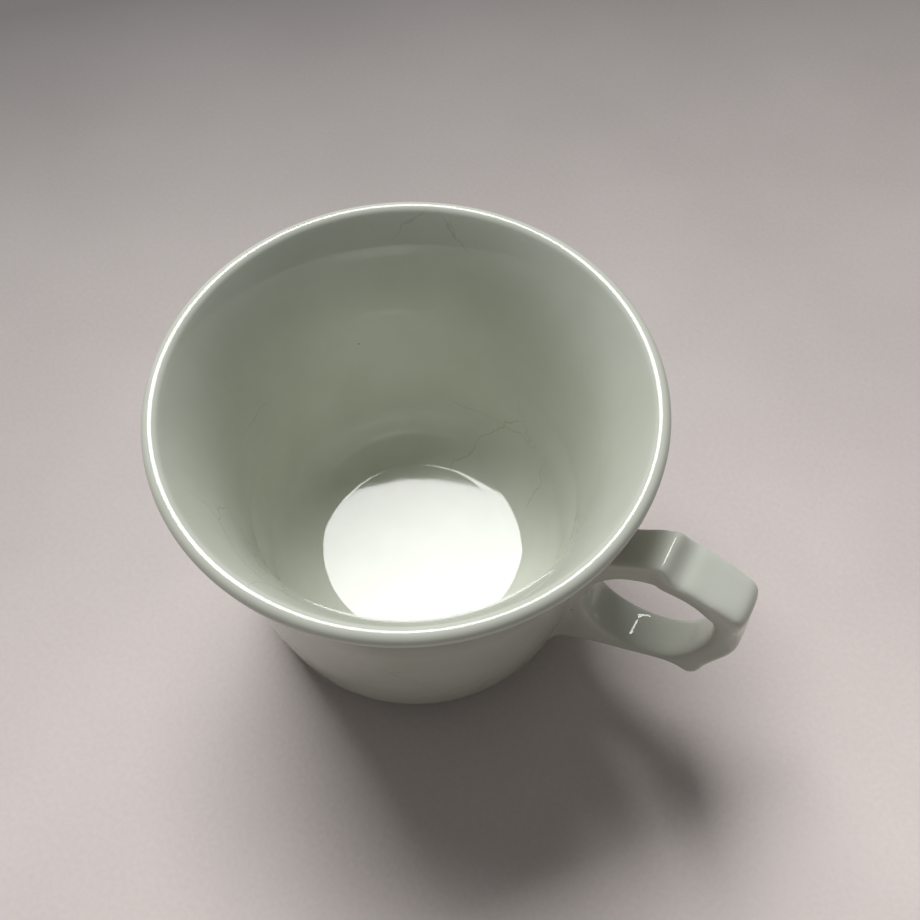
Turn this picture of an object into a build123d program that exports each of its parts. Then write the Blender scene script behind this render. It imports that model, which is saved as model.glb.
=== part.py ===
from build123d import *
from math import cos, radians, sin
import os

# A thick-walled teacup: a bowl with a flaring lip on a low foot ring, and a cast loop handle luted
# to the wall with slip. The whole cup is glazed except for the face that it stands on.
# Millimetres, +Z up. The origin is the middle of the resting plane, and the handle points along +X.

# ---- Bonding layers ---------------------------------------------------------------------------
glaze = 0.35               # fired thickness of the glaze
slip = 0.6                 # fired slip between the handle and the wall

# ---- Bowl, as it measures with its glaze on ----------------------------------------------------
rim_radius = 46.0          # outermost edge of the lip
cup_height = 70.2          # resting plane to the top of the lip
lip_thickness = 3.3        # the lip is a full round of this thickness
flare = 7.1                # how much narrower than the lip the waist is, where the flare starts
waist_drop = 27.2          # from the top of the lip down to the waist
waist_lean = 2.9           # degrees that the wall leans outwards there
belly_taper = 1.0          # from the waist to halfway down to the foot
heel_taper = 3.6           # from the waist to where the belly would meet the underside unrounded
heel_rounding = 5.1
wall_thickness = 4.4       # at the waist
lower_wall_thickness = 5.0  # where the wall would meet the floor if the corner weren't rounded
floor_height = 8.3         # top of the floor on the axis, above the resting plane
floor_dish = 1.6           # how far the dished floor would rise by the time it met the wall
bowl_rounding = 12.2       # from the floor up into the wall

# ---- Foot ring, the same way -------------------------------------------------------------------
foot_height = 2.0          # from the resting plane up to the underside of the bowl
foot_inset = 4.8           # from the unrounded heel in to the outside of the ring
foot_thickness = 4.0
foot_rounding = 0.6
recess_depth = 3.0         # the underside within the ring, above the resting plane
bare_height = 0.4          # how far up the ring's sides the glaze was wiped away

# ---- Handle, the same way ----------------------------------------------------------------------
hole_width = 23.8          # finger hole, outwards from the wall
hole_height = 29.6
hole_web = 1.5             # least thickness between the finger hole and the wall at the waist
hole_drop = 32.3           # from the top of the lip down to the middle of the finger hole
root_height = 3.5          # where the lower edge of the handle would meet the bowl's core
strap_width = 9.6          # across the handle
strap_thickness = 4.9      # over the finger hole and outside it
ridge_height = 0.6         # how far the thumb ridge stands above the strap
spur_rounding = 1.7        # tip of the spur below the handle

waist_radius = rim_radius - flare
waist_height = cup_height - waist_drop
belly_radius = waist_radius - belly_taper
heel_radius = waist_radius - heel_taper
foot_radius = heel_radius - foot_inset
foot_inside = foot_radius - foot_thickness
lip_centre = Vector(rim_radius - lip_thickness / 2, cup_height - lip_thickness / 2)
upright = Vector(sin(radians(waist_lean)), cos(radians(waist_lean)))
down = Vector(0, -1)


def nearest(shape, point):
    """The one corner of a section that lies nearest to a point."""
    return shape.vertices().sort_by_distance(point)[0]


def flare_end(waist, reach):
    """Where the arc that leaves the waist upright meets the lip's round, which it touches smoothly.

    The lip's round reaches towards the arc's centre on the outside of the wall, where reach is
    above 0, and away from it on the inside.
    """
    outwards = upright.rotate(Axis.Z, -90)
    gap = waist - lip_centre
    arc_radius = (gap.length**2 - reach**2) / (2 * (reach - gap.dot(outwards)))
    arc_centre = waist + outwards * arc_radius
    return lip_centre + (arc_centre - lip_centre).normalized() * reach


# ---- Sections to be turned about the axis --------------------------------------------------------
# Each is drawn a given cover inside the finished surface: 0 for the surface itself, one glaze for
# the clay. They are drawn in the YZ plane, which keeps the turned surfaces' seams off the handle.
def wall_outside(cover):
    """The heel, belly, waist and lip of the outside of the wall."""
    inwards = Vector(-cover, 0)
    waist = Vector(waist_radius, waist_height) + inwards
    return (
        Vector(heel_radius, foot_height + cover) + inwards,
        Vector(belly_radius, (foot_height + waist_height) / 2) + inwards,
        waist,
        flare_end(waist, lip_thickness / 2 - cover),
    )


def bowl_outline(cover):
    """Half of the bowl's section."""
    heel, belly, waist_outside, lip_outside = wall_outside(cover)
    lip_round = lip_thickness / 2 - cover
    waist_inside = Vector(waist_radius - wall_thickness + cover, waist_height)
    lip_inside = flare_end(waist_inside, -lip_round)
    lip_top = (lip_inside - lip_outside).rotate(Axis.Z, -90).normalized() * lip_round
    floor_middle = (0, floor_height - cover)
    floor_corner = (
        heel_radius - lower_wall_thickness + cover,
        floor_height + floor_dish - cover,
    )
    with BuildSketch(Plane.YZ) as section:
        with BuildLine():
            Polyline(
                floor_middle,
                (0, recess_depth + cover),
                (foot_inside + cover, recess_depth + cover),
                (foot_inside + cover, foot_height + cover),
                heel,
            )
            ThreePointArc(heel, belly, waist_outside)
            TangentArc(waist_outside, lip_outside, tangent=upright)
            ThreePointArc(lip_outside, lip_centre + lip_top, lip_inside)
            TangentArc(waist_inside, lip_inside, tangent=upright)
            Line(waist_inside, floor_corner)
            TangentArc(floor_middle, floor_corner, tangent=(1, 0))
        make_face()
        fillet(nearest(section, heel), heel_rounding - cover)
        fillet(nearest(section, floor_corner), bowl_rounding + cover)
    return section


def foot_outline(cover):
    """Half of the foot ring's section. The resting face has nothing over it."""
    with BuildSketch(Plane.YZ) as section:
        with Locations((foot_inside + cover, 0)):
            Rectangle(foot_thickness - 2 * cover, foot_height + cover, align=Align.MIN)
        fillet(nearest(section, (foot_inside + cover, 0)), foot_rounding)
        fillet(nearest(section, (foot_radius - cover, 0)), foot_rounding)
    return section


def room_outline(cover):
    """Half of the room that the bowl takes up, filled to the axis. The handle is cut to it."""
    heel, belly, waist, lip = wall_outside(cover)
    with BuildSketch(Plane.YZ) as section:
        with BuildLine():
            Polyline(heel, (0, heel.Y), (0, lip.Y), lip)
            ThreePointArc(heel, belly, waist)
            TangentArc(waist, lip, tangent=upright)
        make_face()
    return section


bowl_section = bowl_outline(glaze)
foot_section = foot_outline(glaze)
bowl_room_section = room_outline(glaze)
slip_room_section = room_outline(glaze - slip)

# The glaze fills what lies between the clay and the finished surface, above the bare resting face.
with BuildSketch(Plane.YZ) as glaze_section:
    add(bowl_outline(0).sketch_local)
    add(foot_outline(0).sketch_local)
    add(bowl_section.sketch_local, mode=Mode.SUBTRACT)
    add(foot_section.sketch_local, mode=Mode.SUBTRACT)
    with Locations((0, bare_height)):
        Rectangle(foot_radius, foot_height, align=(Align.MIN, Align.MAX), mode=Mode.SUBTRACT)


# ---- The handle's section, in the plane that it stands in ----------------------------------------
half_width = hole_width / 2
half_height = hole_height / 2
hole_middle = Vector(waist_radius + hole_web + half_width, cup_height - hole_drop)


def from_hole(out, up):
    """A place this far out and up from the middle of the finger hole."""
    return hole_middle + Vector(out, up)


over = half_height + strap_thickness
beyond = half_width + strap_thickness
inside_bowl = heel_radius - heel_rounding / 2 - hole_middle.X
upper_root = from_hole(inside_bowl, half_height - 5.0)
ridge = from_hole(-0.3, over + ridge_height)
groove = from_hole(1.5, over + 0.1)
facet_end = from_hole(beyond - 2.8, over - 3.2)
nose = from_hole(beyond - 0.4, over - 6.0)
crease = from_hole(beyond - 0.7, over - 8.5)
spur_centre = from_hole(half_width - 0.6, 1.9 - half_height)
root_drop = hole_middle.Y - half_height - root_height
lower_root = from_hole(inside_bowl, -half_height - root_drop)
spur_start, spur_tip, spur_end = [
    spur_centre + down.rotate(Axis.Z, turn) * spur_rounding for turn in (65, 10, -38)
]
facet_heading = (facet_end - groove).normalized()
spur_inwards = (spur_start - spur_centre).rotate(Axis.Z, -90).normalized()
spur_outwards = (spur_end - spur_centre).rotate(Axis.Z, -90).normalized()
hole_shape = (
    (-1, -0.33), (-0.76, 0.42), (-0.27, 0.86), (0.30, 1), (0.80, 0.84),
    (1, 0.38), (0.88, -0.27), (0.50, -0.79), (-0.10, -1), (-0.66, -0.89), (-0.94, -0.64),
)

with BuildSketch(Plane.XZ) as handle_section:
    with BuildLine():
        Spline(
            upper_root,
            from_hole(-11.0, half_height - 1.6),
            from_hole(-6.5, half_height + 1.7),
            ridge,
            groove - facet_heading,
            groove,
        )
        Line(groove, facet_end)
        Spline(
            facet_end,
            facet_end + facet_heading,
            nose,
            crease,
            from_hole(beyond, 7.6),
            from_hole(beyond - 1.2, -2.5),
            from_hole(beyond - 2.8, -8.6),
            spur_start - spur_inwards,
            spur_start,
        )
        ThreePointArc(spur_start, spur_tip, spur_end)
        Spline(
            spur_end,
            spur_end + spur_outwards,
            from_hole(8.3, 1.0 - half_height),
            from_hole(2.4, -half_height - 0.11 * root_drop),
            from_hole(-5.8, -half_height - 0.35 * root_drop),
            from_hole(-13.6, -half_height - 0.66 * root_drop),
            lower_root,
        )
        Line(lower_root, upper_root)
    make_face()
    with BuildLine():
        Spline([from_hole(half_width * out, half_height * up) for out, up in hole_shape], periodic=True)
    make_face(mode=Mode.SUBTRACT)


# ---- The pieces ---------------------------------------------------------------------------------
with BuildPart() as bowl:
    add(bowl_section.sketch)
    revolve(axis=Axis.Z)
bowl.part.label = "bowl"

with BuildPart() as foot_ring:
    add(foot_section.sketch)
    revolve(axis=Axis.Z)
foot_ring.part.label = "foot_ring"

with BuildPart() as bowl_room:
    add(bowl_room_section.sketch)
    revolve(axis=Axis.Z)

with BuildPart() as slip_room:
    add(slip_room_section.sketch)
    revolve(axis=Axis.Z)

# All of the strap outside the bowl's clay wall: the handle itself and the slip that holds it.
with BuildPart() as strap:
    with BuildSketch(Plane.XZ.offset(-strap_width / 2)):
        add(handle_section.sketch_local)
    extrude(amount=strap_width)
    add(bowl_room.part, mode=Mode.SUBTRACT)

with BuildPart() as handle:
    add(strap.part)
    add(slip_room.part, mode=Mode.SUBTRACT)
handle.part.label = "handle"

with BuildPart() as handle_joint:
    add(strap.part)
    add(slip_room.part, mode=Mode.INTERSECT)
handle_joint.part.label = "handle_joint"

with BuildPart() as all_glaze:
    add(glaze_section.sketch)
    revolve(axis=Axis.Z)
    add(strap.part, mode=Mode.SUBTRACT)

outside_glaze, recess_glaze = all_glaze.part.solids().sort_by(SortBy.VOLUME, reverse=True)[0:2]

with BuildPart() as bowl_glaze:
    add(outside_glaze)
bowl_glaze.part.label = "bowl_glaze"

with BuildPart() as underside_glaze:
    add(recess_glaze)
underside_glaze.part.label = "underside_glaze"

os.makedirs("parts", exist_ok=True)
for piece in (bowl, foot_ring, handle, handle_joint, bowl_glaze, underside_glaze):
    export_step(piece.part, f"parts/{piece.part.label}.step")
    volume = round(piece.part.volume, 1)
    print(piece.part.label, len(piece.part.solids()), "solid(s)", volume, "mm3", piece.part.bounding_box().size)
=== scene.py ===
# %% [markdown]
# # A glazed teacup
#
# The cup is a thick bowl with a flaring lip, a low foot ring and a cast handle, all under one
# glassy white glaze. Potters turn the bowl on a wheel, so here a drawn profile is spun about the
# axis. The handle was cast in a mould and fettled round, so its flat side is drawn out to the full
# width and its edges are sponged. The cell below loads the measured model that every piece fits.

from math import cos, exp, hypot, pi, radians, sin

import bpy
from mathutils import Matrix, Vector


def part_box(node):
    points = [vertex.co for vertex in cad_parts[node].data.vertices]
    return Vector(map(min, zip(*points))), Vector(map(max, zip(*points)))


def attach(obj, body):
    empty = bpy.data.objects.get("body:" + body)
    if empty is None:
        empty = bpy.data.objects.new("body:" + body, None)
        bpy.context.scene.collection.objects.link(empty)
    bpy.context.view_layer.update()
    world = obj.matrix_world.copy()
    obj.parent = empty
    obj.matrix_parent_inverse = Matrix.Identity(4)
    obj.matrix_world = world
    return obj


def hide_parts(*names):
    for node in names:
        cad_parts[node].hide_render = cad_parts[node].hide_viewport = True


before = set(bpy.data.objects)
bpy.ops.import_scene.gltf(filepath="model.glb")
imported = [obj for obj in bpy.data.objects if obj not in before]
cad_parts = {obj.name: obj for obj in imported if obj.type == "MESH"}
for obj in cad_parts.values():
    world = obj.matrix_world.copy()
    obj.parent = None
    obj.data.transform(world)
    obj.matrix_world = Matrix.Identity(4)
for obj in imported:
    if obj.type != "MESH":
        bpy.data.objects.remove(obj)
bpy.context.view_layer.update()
MM = 0.001

# %% [markdown]
# ## Helpers
#
# An operator acts on everything that is selected, so each step starts by clearing the selection.
# Colours are written as sRGB hex values and turned to linear light by one function, because the
# shader works in linear light. A material is a small graph, and one function adds a node to it
# with its settings and its links.


# %% Helpers for objects and materials
def only(piece):
    """Selects one object and makes it the active one."""
    if bpy.context.object and bpy.context.object.mode != "OBJECT":
        bpy.ops.object.mode_set(mode="OBJECT")
    bpy.ops.object.select_all(action="DESELECT")
    piece.select_set(True)
    bpy.context.view_layer.objects.active = piece


def linear(hex_colour):
    """An sRGB hex colour as linear red, green, blue and alpha."""
    channels = [int(hex_colour[i : i + 2], 16) / 255 for i in (1, 3, 5)]
    return [c / 12.92 if c <= 0.04045 else ((c + 0.055) / 1.055) ** 2.4 for c in channels] + [1.0]


def add_node(material, kind, settings=None, **inputs):
    """Adds a node. An input is a value, or an output socket of another node to link from."""
    tree = material.node_tree
    node = tree.nodes.new(kind)
    for name, value in (settings or {}).items():
        setattr(node, name, value)
    for name, value in inputs.items():
        socket = node.inputs[int(name[1:])] if name[0] == "_" else node.inputs[name.replace("_", " ")]
        if isinstance(value, bpy.types.NodeSocket):
            tree.links.new(value, socket)
        else:
            socket.default_value = value
    return node


def new_material(name):
    """An empty material with its output node."""
    material = bpy.data.materials.new(name)
    material.use_nodes = True
    material.node_tree.nodes.clear()
    return material


def finish_material(material, shader):
    """Sends a shader to the material's output."""
    add_node(material, "ShaderNodeOutputMaterial", Surface=shader)
    print("material", material.name, "has", len(material.node_tree.nodes), "nodes")


def dress(piece, material):
    """Gives a piece one material all over."""
    piece.data.materials.clear()
    piece.data.materials.append(material)


def drop(node):
    """A copy of a measured node, to work on without touching the node itself."""
    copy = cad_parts[node].copy()
    copy.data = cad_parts[node].data.copy()
    copy.parent = None
    bpy.context.scene.collection.objects.link(copy)
    return copy


# %% [markdown]
# ## The bowl's profile
#
# The wall is three sweeps: a belly that barely bows, a flare that opens towards the lip, and a
# lip that is one full round, as a sponge leaves it. The flare leaves the waist smoothly and runs
# smoothly into the lip's round. Drawing it as arcs keeps the reflections in the gloss unbroken.
# Sizes are in millimetres and match the measured model, with the glaze on.

# %% Sizes of the bowl
RIM_RADIUS = 46.0
CUP_HEIGHT = 70.2
LIP_ROUND = 1.65
WAIST = Vector((38.9, 43.0))
WALL = 4.4
BELLY = Vector((37.9, 22.5))
HEEL = Vector((35.3, 2.0))
HEEL_ROUNDING = 5.1
FOOT_INSIDE = 26.5
FOOT_OUTSIDE = 30.5
RECESS = 3.0
GLAZE_EDGE = 0.4
FLOOR = Vector((0.0, 8.3))
FLOOR_CORNER = Vector((30.3, 9.9))
FLOOR_ROUNDING = 12.2
WAIST_ROUNDING = 300.0
LEAN_ANGLE = radians(2.9)
LEAN = Vector((sin(LEAN_ANGLE), cos(LEAN_ANGLE)))
LIP_CENTRE = Vector((RIM_RADIUS - LIP_ROUND, CUP_HEIGHT - LIP_ROUND))

# %% [markdown]
# ## Arcs
#
# A drawn profile needs only two tools: an arc that leaves a point along a heading, and a way to
# round the corner between two stretches. The second cuts both stretches back by the length that
# the rounding needs and puts an arc in the gap.


# %% Helpers for arcs
def arc(start, heading, end, steps):
    """The arc that leaves start along heading and reaches end, as points, both ends included."""
    side = Vector((heading.y, -heading.x)).normalized()
    gap = end - start
    across = gap.dot(side)
    if abs(across) < 1e-6:
        return [start + gap * step / steps for step in range(steps + 1)]
    centre = start + side * gap.length_squared / (2 * across)
    spoke = start - centre
    turn = 2 * heading.angle(gap) * (-1 if across > 0 else 1)
    points = []
    for step in range(steps + 1):
        c, s = cos(turn * step / steps), sin(turn * step / steps)
        points.append(centre + Vector((spoke.x * c - spoke.y * s, spoke.x * s + spoke.y * c)))
    return points


def heading_by(start, middle, end):
    """The heading with which the arc from start through middle to end sets off."""
    first, second = middle - start, end - start
    return (first / first.length_squared - second / second.length_squared).normalized()


def cut_back(points, length):
    """A path without its last stretch of this length."""
    points = list(points)
    while length > (points[-1] - points[-2]).length:
        length -= (points[-1] - points[-2]).length
        points.pop()
    points[-1] = points[-1] + (points[-2] - points[-1]).normalized() * length
    return points


def join_round(first, second, radius, steps):
    """Two paths that meet at a corner, as one path with the corner rounded."""
    turn = (first[-1] - first[-2]).angle(second[1] - second[0])
    back = radius * sin(turn / 2) / cos(turn / 2)
    first = cut_back(first, back)
    second = cut_back(second[::-1], back)[::-1]
    return first + arc(first[-1], first[-1] - first[-2], second[0], steps)[1:] + second[1:]


def flare_end(waist, reach):
    """Where the flare that leaves the waist along the lean touches the lip's round."""
    side = Vector((LEAN.y, -LEAN.x))
    gap = waist - LIP_CENTRE
    radius = (gap.length_squared - reach**2) / (2 * (reach - gap.dot(side)))
    return LIP_CENTRE + (waist + side * radius - LIP_CENTRE).normalized() * reach


# %% Draw the profile
lip_outside = flare_end(WAIST, LIP_ROUND)
waist_inside = WAIST - Vector((WALL, 0))
lip_inside = flare_end(waist_inside, -LIP_ROUND)
lip_top = LIP_CENTRE + (lip_inside - lip_outside).normalized().orthogonal() * -LIP_ROUND
if lip_top.y < LIP_CENTRE.y:
    lip_top = LIP_CENTRE * 2 - lip_top
belly = arc(HEEL, heading_by(HEEL, BELLY, WAIST), WAIST, 28)
flare = arc(WAIST, LEAN, lip_outside, 28)
lip = arc(lip_outside, heading_by(lip_outside, lip_top, lip_inside), lip_inside, 20)
inner_flare = arc(waist_inside, LEAN, lip_inside, 28)[::-1]
inner_wall = [waist_inside + (FLOOR_CORNER - waist_inside) * step / 12 for step in range(13)]
dish = arc(FLOOR, Vector((1, 0)), FLOOR_CORNER, 24)[::-1]
outside = join_round(belly + flare[1:] + lip[1:] + inner_flare[1:], inner_wall, WAIST_ROUNDING, 10)

ring = [Vector((0, RECESS)), Vector((FOOT_INSIDE, RECESS))]
for corner, rounding in (
    (Vector((FOOT_INSIDE, GLAZE_EDGE)), 0.6),
    (Vector((FOOT_OUTSIDE, GLAZE_EDGE)), 0.15),
    (Vector((FOOT_OUTSIDE, HEEL.y)), 0.3),
    (HEEL, 0.6),
):
    ring = join_round(ring, [ring[-1], corner], rounding, 5)
profile = join_round(ring, outside, HEEL_ROUNDING, 14)
profile = join_round(profile, dish, FLOOR_ROUNDING, 24)
reach = [max(p.x for p in profile), max(p.y for p in profile)]
print("the profile has", len(profile), "points and reaches", reach)

# %% [markdown]
# ## Turn the bowl
#
# The profile becomes a row of vertices joined by edges, and the spin turns it about the axis as
# the wheel did. The last ring of the spin lands on the first, and at the axis every copy of the
# end point lands on one place, so doubles are merged and the faces are made to point outwards.

# %% Spin the profile
TURN_STEPS = 192
outline = bpy.data.meshes.new("glazed_bowl")
corners = [(p.x * MM, 0, p.y * MM) for p in profile]
outline.from_pydata(corners, [(i, i + 1) for i in range(len(profile) - 1)], [])
glazed_bowl = bpy.data.objects.new("glazed_bowl", outline)
bpy.context.scene.collection.objects.link(glazed_bowl)
only(glazed_bowl)
bpy.ops.object.mode_set(mode="EDIT")
bpy.ops.mesh.select_all(action="SELECT")
bpy.ops.mesh.spin(steps=TURN_STEPS, angle=2 * pi, center=(0, 0, 0), axis=(0, 0, 1))
bpy.ops.mesh.select_all(action="SELECT")
bpy.ops.mesh.remove_doubles(threshold=0.005 * MM)
bpy.ops.mesh.normals_make_consistent(inside=False)
bpy.ops.object.mode_set(mode="OBJECT")
bpy.ops.object.shade_smooth()
print("the bowl has", len(outline.polygons), "faces")

# %% [markdown]
# ## The handle
#
# A mould leaves a cast handle with the same outline all the way across and rounded edges, and the
# maker's sponge softens them further. The measured handle already has the outline, so its flat
# side is kept and drawn out again to the full width, with the root let into the wall of the bowl.
# A fine remesh then makes an even skin that can be sponged round and shaped like clay.

# %% Take the flat side of the measured handle
HANDLE_WIDTH = 9.6
handle = drop("handle")
handle.name = "cast_handle"
only(handle)
bpy.ops.object.mode_set(mode="EDIT")
bpy.ops.mesh.select_all(action="SELECT")
bpy.ops.mesh.remove_doubles(threshold=0.002 * MM)
bpy.ops.mesh.select_all(action="DESELECT")
bpy.ops.object.mode_set(mode="OBJECT")
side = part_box("handle")[0].y
SIDE_DEPTH = 0.01
for vertex in handle.data.vertices:
    vertex.select = vertex.co.y > side + SIDE_DEPTH * MM
bpy.ops.object.mode_set(mode="EDIT")
bpy.ops.mesh.delete(type="VERT")
bpy.ops.object.mode_set(mode="OBJECT")
print("the side has", len(handle.data.polygons), "faces and", len(handle.data.vertices), "corners")


# %% Let the root into the wall and draw the side out to its width
def wall_radius(height):
    """Outside radius of the wall at a height, both in millimetres."""
    walls = belly + flare[1:]
    for low, high in zip(walls, walls[1:]):
        if low.y <= height <= high.y:
            return low.x + (high.x - low.x) * (height - low.y) / (high.y - low.y)
    return WAIST.x if height > HEEL.y else HEEL.x


ROOT_GAP = 0.8
LET_IN = 3.0
for vertex in handle.data.vertices:
    place = vertex.co / MM
    if hypot(place.x, place.y) < wall_radius(place.z) + ROOT_GAP:
        vertex.co.x -= LET_IN * MM
bpy.ops.object.mode_set(mode="EDIT")
bpy.ops.mesh.select_all(action="SELECT")
bpy.ops.mesh.extrude_region_move(TRANSFORM_OT_translate={"value": (0, HANDLE_WIDTH * MM, 0)})
bpy.ops.mesh.select_all(action="SELECT")
bpy.ops.mesh.normals_make_consistent(inside=False)
bpy.ops.mesh.select_all(action="DESELECT")
bpy.ops.mesh.select_non_manifold()
bpy.ops.object.mode_set(mode="OBJECT")
print("the square strap spans", [round(d / MM, 1) for d in handle.dimensions])
print("open edges left:", sum(e.select for e in handle.data.edges))


# %% Give it an even skin and sponge its edges round
def ease(value, start, end):
    """Rises smoothly from 0 at start to 1 at end."""
    share = min(max((value - start) / (end - start), 0), 1)
    return share * share * (3 - 2 * share)


SKIN = 0.3
EDGE_BAND = 3.2
END_FADE_OUT = (61.5, 66.5)
END_FADE_UP = (43, 48)
RIDGE_BAND = (49.6, 54.4)
RIDGE_ABOVE = 54.5
only(handle)
remesh = handle.modifiers.new("even skin", "REMESH")
remesh.mode = "VOXEL"
remesh.voxel_size = SKIN * MM
bpy.ops.object.modifier_apply(modifier=remesh.name)
sides = handle.vertex_groups.new(name="sides")
slab_end = handle.vertex_groups.new(name="slab_end")
ridge = handle.vertex_groups.new(name="ridge")
for vertex in handle.data.vertices:
    place = vertex.co / MM
    if abs(place.y) > HANDLE_WIDTH / 2 - EDGE_BAND:
        sides.add([vertex.index], 1.0, "REPLACE")
    at_end = ease(place.x, *END_FADE_OUT) * ease(place.z, *END_FADE_UP)
    slab_end.add([vertex.index], at_end, "REPLACE")
    if RIDGE_BAND[0] < place.x < RIDGE_BAND[1] and place.z > RIDGE_ABOVE:
        ridge.add([vertex.index], 1.0, "REPLACE")
SPONGING = (("stairs", "", 8), ("sponge", "sides", 130), ("thumb", "slab_end", 150), ("bead", "ridge", 45))
for name, group, passes in SPONGING:
    sponge = handle.modifiers.new(name, "SMOOTH")
    sponge.factor = 0.5
    sponge.iterations = passes
    sponge.vertex_group = group
    bpy.ops.object.modifier_apply(modifier=sponge.name)
bpy.ops.object.shade_smooth()
print("the handle's skin has", len(handle.data.polygons), "faces")

# %% [markdown]
# ## Shape the handle
#
# The thumb rest is a flat slab, a little wider than the strap below it, which it overhangs. Its
# outer corners are rounded, and a ridge with a groove behind it stops the thumb. Glaze and slip
# gather where the handle meets the bowl and leave a soft hollow fillet all round the root. All of
# these are small moves of the skin, and the fillet's is larger the nearer it is to the wall.

# %% Widen the thumb rest and soften the root
SLAB_START = Vector((53.8, 57.7))
SLAB_END = Vector((66.3, 54.4))
SLAB_DEPTH = 4.6
SLAB_FADE = 0.6
SLAB_START_FADE = (-3, 1)
SLAB_WIDEN = 0.085
LOWER_NARROW = 0.03
END_OUT = 69.4
CORNER_ROUND = 3.4
CORNER_TUCK = 0.3
CORNER_FADE_UP = (42, 48)
TOP_FACING = (0.2, 0.6)
ROOT_FILLET = 2.2
FILLET_SHARE = 0.8
ALONG_WALL = 0.3
RIDGE_OUT = 52.0
RIDGE_RISE = 0.95
RIDGE_HALF = 1.6
GROOVE_OUT = 55.4
GROOVE_SINK = 0.35
slab_way = (SLAB_END - SLAB_START).normalized()
slab_down = Vector((slab_way.y, -slab_way.x))


moves = []
for vertex in handle.data.vertices:
    place = vertex.co / MM
    flat = Vector((place.x, place.z)) - SLAB_START
    in_slab = 1 - ease(flat.dot(slab_down), SLAB_DEPTH - SLAB_FADE, SLAB_DEPTH + SLAB_FADE)
    in_slab *= ease(flat.dot(slab_way), *SLAB_START_FADE)
    place.y *= 1 + SLAB_WIDEN * in_slab - LOWER_NARROW * (1 - in_slab)
    corner = max(place.x - (END_OUT - CORNER_ROUND), 0) / CORNER_ROUND
    tuck = CORNER_TUCK * (1 - (1 - min(corner, 1) ** 2) ** 0.5) * ease(place.z, *CORNER_FADE_UP)
    place.y *= 1 - tuck
    if vertex.normal.z > TOP_FACING[0] and place.z > SLAB_END.y:
        rise = RIDGE_RISE * exp(-(((place.x - RIDGE_OUT) / RIDGE_HALF) ** 2))
        rise -= GROOVE_SINK * exp(-(((place.x - GROOVE_OUT) / RIDGE_HALF) ** 2))
        place.z += rise * ease(vertex.normal.z, *TOP_FACING)
    gap = hypot(place.x, place.y) - wall_radius(place.z)
    if gap < ROOT_FILLET:
        share = 1 - max(gap, 0) / ROOT_FILLET
        push = ROOT_FILLET * (1 - (1 - share * share) ** 0.5) * FILLET_SHARE
        away = Vector(vertex.normal)
        outwards = Vector((place.x, place.y, 0)).normalized()
        away -= outwards * away.dot(outwards)
        if away.length > ALONG_WALL:
            place += away.normalized() * push
    moves.append(place * MM)
for vertex, place in zip(handle.data.vertices, moves):
    vertex.co = place
settle = handle.modifiers.new("settle", "SMOOTH")
settle.factor = 0.5
settle.iterations = 4
bpy.ops.object.modifier_apply(modifier=settle.name)
handle.data.update()
print("the handle now spans", [round(d / MM, 1) for d in handle.dimensions])

# %% [markdown]
# ## The glaze
#
# White ware is glazed stoneware or porcelain: an off-white body under a clear glass that carries
# a trace of iron, which tints it a cool grey green. To the eye it is a pale, slightly uneven
# colour under a very sharp reflection. Dust in the kiln leaves pinhole specks about a third of a
# millimetre across, use leaves hairline crazing, and the surface is never quite flat, so the
# reflections swim a little.

# %% Glazed white ware
glaze = new_material("glazed_white_ware")
place = add_node(glaze, "ShaderNodeTexCoord").outputs["Object"]
cloud = add_node(glaze, "ShaderNodeTexNoise", Vector=place, Scale=70.0, Detail=3.0, Roughness=0.55)
tint = add_node(glaze, "ShaderNodeValToRGB", Fac=cloud.outputs["Fac"])
tint.color_ramp.elements[0].position = 0.3
tint.color_ramp.elements[0].color = linear("#CED2C5")
tint.color_ramp.elements[1].position = 0.7
tint.color_ramp.elements[1].color = linear("#D5D8CD")

cells = add_node(glaze, "ShaderNodeTexVoronoi", Vector=place, Scale=230.0)
speck = add_node(glaze, "ShaderNodeMath", {"operation": "LESS_THAN"}, _0=cells.outputs["Distance"], _1=0.055)
rare_noise = add_node(glaze, "ShaderNodeSeparateColor", Color=cells.outputs["Color"])
rare = add_node(glaze, "ShaderNodeMath", {"operation": "GREATER_THAN"}, _0=rare_noise.outputs["Red"], _1=0.93)
multiply = {"operation": "MULTIPLY"}
speck_mask = add_node(glaze, "ShaderNodeMath", multiply, _0=speck.outputs[0], _1=rare.outputs[0])
speckled = add_node(
    glaze,
    "ShaderNodeMix",
    {"data_type": "RGBA"},
    _0=speck_mask.outputs[0],
    _6=tint.outputs["Color"],
    _7=linear("#6E6A58"),
)

bend = add_node(glaze, "ShaderNodeTexNoise", Vector=place, Scale=160.0, Detail=2.0)
bent = add_node(
    glaze, "ShaderNodeVectorMath", {"operation": "SCALE"}, Vector=bend.outputs["Color"], Scale=0.006
)
craze_place = add_node(glaze, "ShaderNodeVectorMath", _0=place, _1=bent.outputs[0])
craze = add_node(
    glaze, "ShaderNodeTexVoronoi", {"feature": "DISTANCE_TO_EDGE"}, Vector=craze_place.outputs[0], Scale=48.0
)
line = add_node(glaze, "ShaderNodeMath", {"operation": "LESS_THAN"}, _0=craze.outputs["Distance"], _1=0.006)
patch = add_node(glaze, "ShaderNodeTexNoise", Vector=place, Scale=32.0, Detail=1.0)
where = add_node(
    glaze, "ShaderNodeMapRange", Value=patch.outputs["Fac"], From_Min=0.57, From_Max=0.68, To_Max=0.34
)
hairline = add_node(glaze, "ShaderNodeMath", multiply, _0=line.outputs[0], _1=where.outputs[0])
coloured = add_node(
    glaze,
    "ShaderNodeMix",
    {"data_type": "RGBA"},
    _0=hairline.outputs[0],
    _6=speckled.outputs[2],
    _7=linear("#8A8672"),
)

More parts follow.
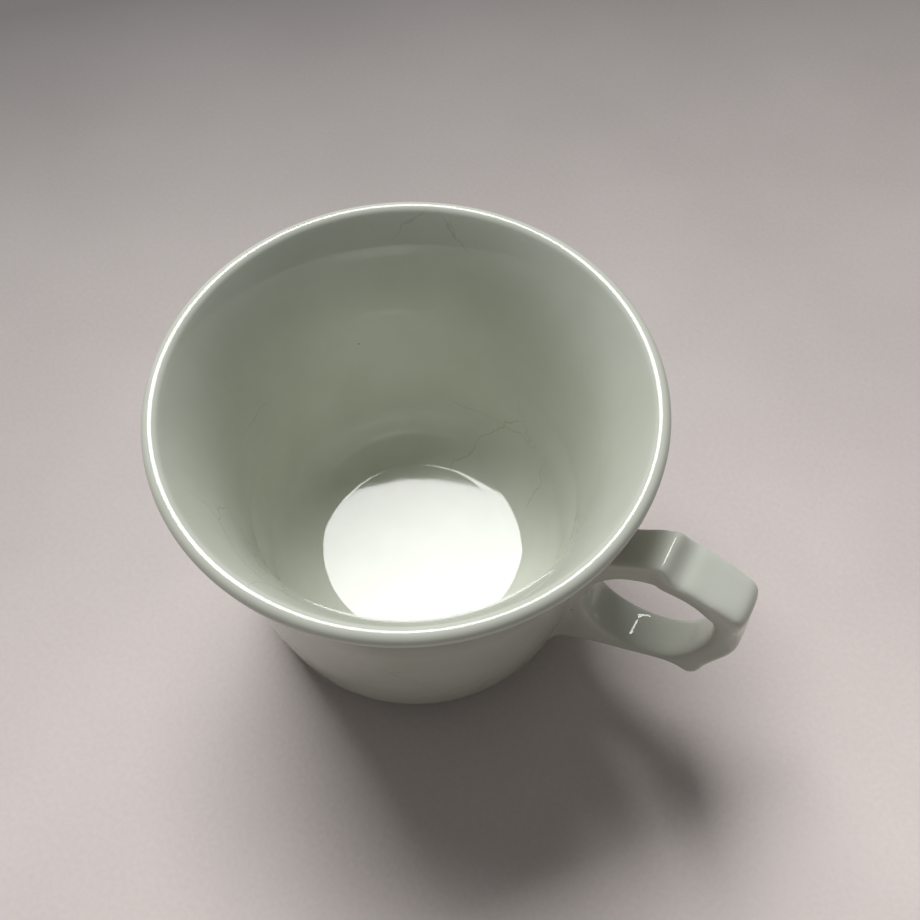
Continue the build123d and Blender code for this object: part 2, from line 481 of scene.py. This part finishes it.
swim = add_node(glaze, "ShaderNodeTexNoise", Vector=place, Scale=85.0, Detail=1.0)
swim_bump = add_node(glaze, "ShaderNodeBump", Strength=0.35, Distance=0.00022, Height=swim.outputs["Fac"])
skin = add_node(glaze, "ShaderNodeTexNoise", Vector=place, Scale=620.0, Detail=1.0)
skin_bump = add_node(
    glaze,
    "ShaderNodeBump",
    Strength=0.2,
    Distance=0.00002,
    Height=skin.outputs["Fac"],
    Normal=swim_bump.outputs[0],
)
wear = add_node(glaze, "ShaderNodeMapRange", Value=cloud.outputs["Fac"], To_Min=0.035, To_Max=0.085)
glaze_shader = add_node(
    glaze,
    "ShaderNodeBsdfPrincipled",
    Base_Color=coloured.outputs[2],
    Roughness=wear.outputs[0],
    IOR=1.54,
    Normal=skin_bump.outputs[0],
)
finish_material(glaze, glaze_shader.outputs[0])
for piece in (glazed_bowl, handle):
    dress(piece, glaze)

# %% [markdown]
# ## The bare foot
#
# The cup stood on this ring in the kiln, so its face is wiped clean of glaze. Fired clay without
# glaze is called biscuit. It is matte, a little warmer than the glaze, with a sandy grain of
# about a quarter of a millimetre, and use greys its high points.

# %% Biscuit
biscuit = new_material("biscuit")
place = add_node(biscuit, "ShaderNodeTexCoord").outputs["Object"]
grain = add_node(biscuit, "ShaderNodeTexNoise", Vector=place, Scale=1900.0, Detail=3.0)
rubbed = add_node(biscuit, "ShaderNodeTexNoise", Vector=place, Scale=120.0, Detail=4.0)
clay_colour = add_node(biscuit, "ShaderNodeValToRGB", Fac=rubbed.outputs["Fac"])
clay_colour.color_ramp.elements[0].position = 0.35
clay_colour.color_ramp.elements[0].color = linear("#B9AF9E")
clay_colour.color_ramp.elements[1].position = 0.65
clay_colour.color_ramp.elements[1].color = linear("#D6CFC0")
clay_bump = add_node(biscuit, "ShaderNodeBump", Strength=0.5, Distance=0.00006, Height=grain.outputs["Fac"])
biscuit_shader = add_node(
    biscuit,
    "ShaderNodeBsdfPrincipled",
    Base_Color=clay_colour.outputs["Color"],
    Roughness=0.82,
    Normal=clay_bump.outputs[0],
)
finish_material(biscuit, biscuit_shader.outputs[0])
for node in ("bowl", "foot_ring", "handle_joint"):
    dress(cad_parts[node], biscuit)
for node in ("handle", "bowl_glaze", "underside_glaze"):
    dress(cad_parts[node], glaze)

# %% [markdown]
# ## The table, the light and the camera
#
# The table is a pale matte board with a fine fleck. Its paint is darker towards the far left,
# which stands in for the way the room's light falls off there. A tall window stands beyond, and a
# large soft lamp takes its place. Its reflection fills the floor of the bowl, and the far wall
# lies in its own shade. The room gives a low even light from all round.

# %% Table
bpy.ops.mesh.primitive_plane_add(size=6.0, location=(0, 0, 0))
table = bpy.context.object
table.name = "table"
board = new_material("painted_board")
place = add_node(board, "ShaderNodeTexCoord").outputs["Object"]
fleck = add_node(board, "ShaderNodeTexNoise", Vector=place, Scale=900.0, Detail=4.0)
mottle = add_node(board, "ShaderNodeTexNoise", Vector=place, Scale=14.0, Detail=3.0)
both = add_node(
    board,
    "ShaderNodeMix",
    {"data_type": "FLOAT"},
    _0=0.35,
    _2=mottle.outputs["Fac"],
    _3=fleck.outputs["Fac"],
)
board_colour = add_node(board, "ShaderNodeValToRGB", Fac=both.outputs[0])
board_colour.color_ramp.elements[0].position = 0.35
board_colour.color_ramp.elements[0].color = linear("#C6BDBA")
board_colour.color_ramp.elements[1].position = 0.65
board_colour.color_ramp.elements[1].color = linear("#D2C9C6")
LIGHTER_WAY = (0.706, -0.708, 0.0)
across = add_node(board, "ShaderNodeVectorMath", {"operation": "DOT_PRODUCT"}, _0=place, _1=LIGHTER_WAY)
falloff = add_node(
    board,
    "ShaderNodeMapRange",
    Value=across.outputs["Value"],
    From_Min=-0.232,
    From_Max=0.083,
    To_Min=0.2,
    To_Max=1.35,
)
shaded = add_node(
    board,
    "ShaderNodeVectorMath",
    {"operation": "SCALE"},
    Vector=board_colour.outputs["Color"],
    Scale=falloff.outputs[0],
)
board_shader = add_node(board, "ShaderNodeBsdfPrincipled", Base_Color=shaded.outputs[0], Roughness=0.6)
finish_material(board, board_shader.outputs[0])
dress(table, board)


# %% Light
def soft_lamp(name, azimuth, height_angle, distance, width, tall, power, colour):
    """A rectangular lamp in metres and watts that faces the cup from a direction in degrees."""
    lamp = bpy.data.objects.new(name, bpy.data.lights.new(name, "AREA"))
    lamp.data.shape = "RECTANGLE"
    lamp.data.size = width
    lamp.data.size_y = tall
    lamp.data.energy = power
    lamp.data.color = linear(colour)[:3]
    away = Vector((cos(radians(azimuth)), sin(radians(azimuth)), 0)) * cos(radians(height_angle))
    away.z = sin(radians(height_angle))
    lamp.location = away * distance
    lamp.rotation_euler = away.to_track_quat("Z", "Y").to_euler()
    bpy.context.scene.collection.objects.link(lamp)
    print(name, "stands at", [round(x, 2) for x in lamp.location])


soft_lamp("window", 140, 58, 1.3, 0.78, 0.6, 16.5, "#FFFFFF")
world = bpy.data.worlds.new("room")
bpy.context.scene.world = world
world.use_nodes = True
world.node_tree.nodes.clear()
ROOM_LEVEL = 0.13
room = add_node(world, "ShaderNodeBackground", Color=linear("#F4F2F0"), Strength=ROOM_LEVEL)
backdrop = add_node(world, "ShaderNodeBackground", Color=linear("#D2C9C6"), Strength=1.0)
seen = add_node(world, "ShaderNodeLightPath").outputs["Is Camera Ray"]
mixed = add_node(world, "ShaderNodeMixShader", _0=seen, _1=room.outputs[0], _2=backdrop.outputs[0])
add_node(world, "ShaderNodeOutputWorld", Surface=mixed.outputs[0])

# %% Camera
camera = bpy.data.objects.new("camera", bpy.data.cameras.new("camera"))
camera.data.lens = 38.86
camera.data.sensor_width = 36.0
camera.location = (0.05495, -0.08146, 0.21279)
camera.rotation_euler = (radians(30.4948), radians(-0.2521), radians(28.9929))
camera.data.clip_start = 0.01
bpy.context.scene.collection.objects.link(camera)
bpy.context.scene.camera = camera
bpy.context.scene.view_settings.view_transform = "Standard"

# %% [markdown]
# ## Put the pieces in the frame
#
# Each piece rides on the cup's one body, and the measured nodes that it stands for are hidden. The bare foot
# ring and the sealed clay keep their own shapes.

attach(glazed_bowl, "root")
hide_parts("bowl", "bowl_glaze", "underside_glaze")
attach(handle, "root")
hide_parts("handle", "handle_joint")
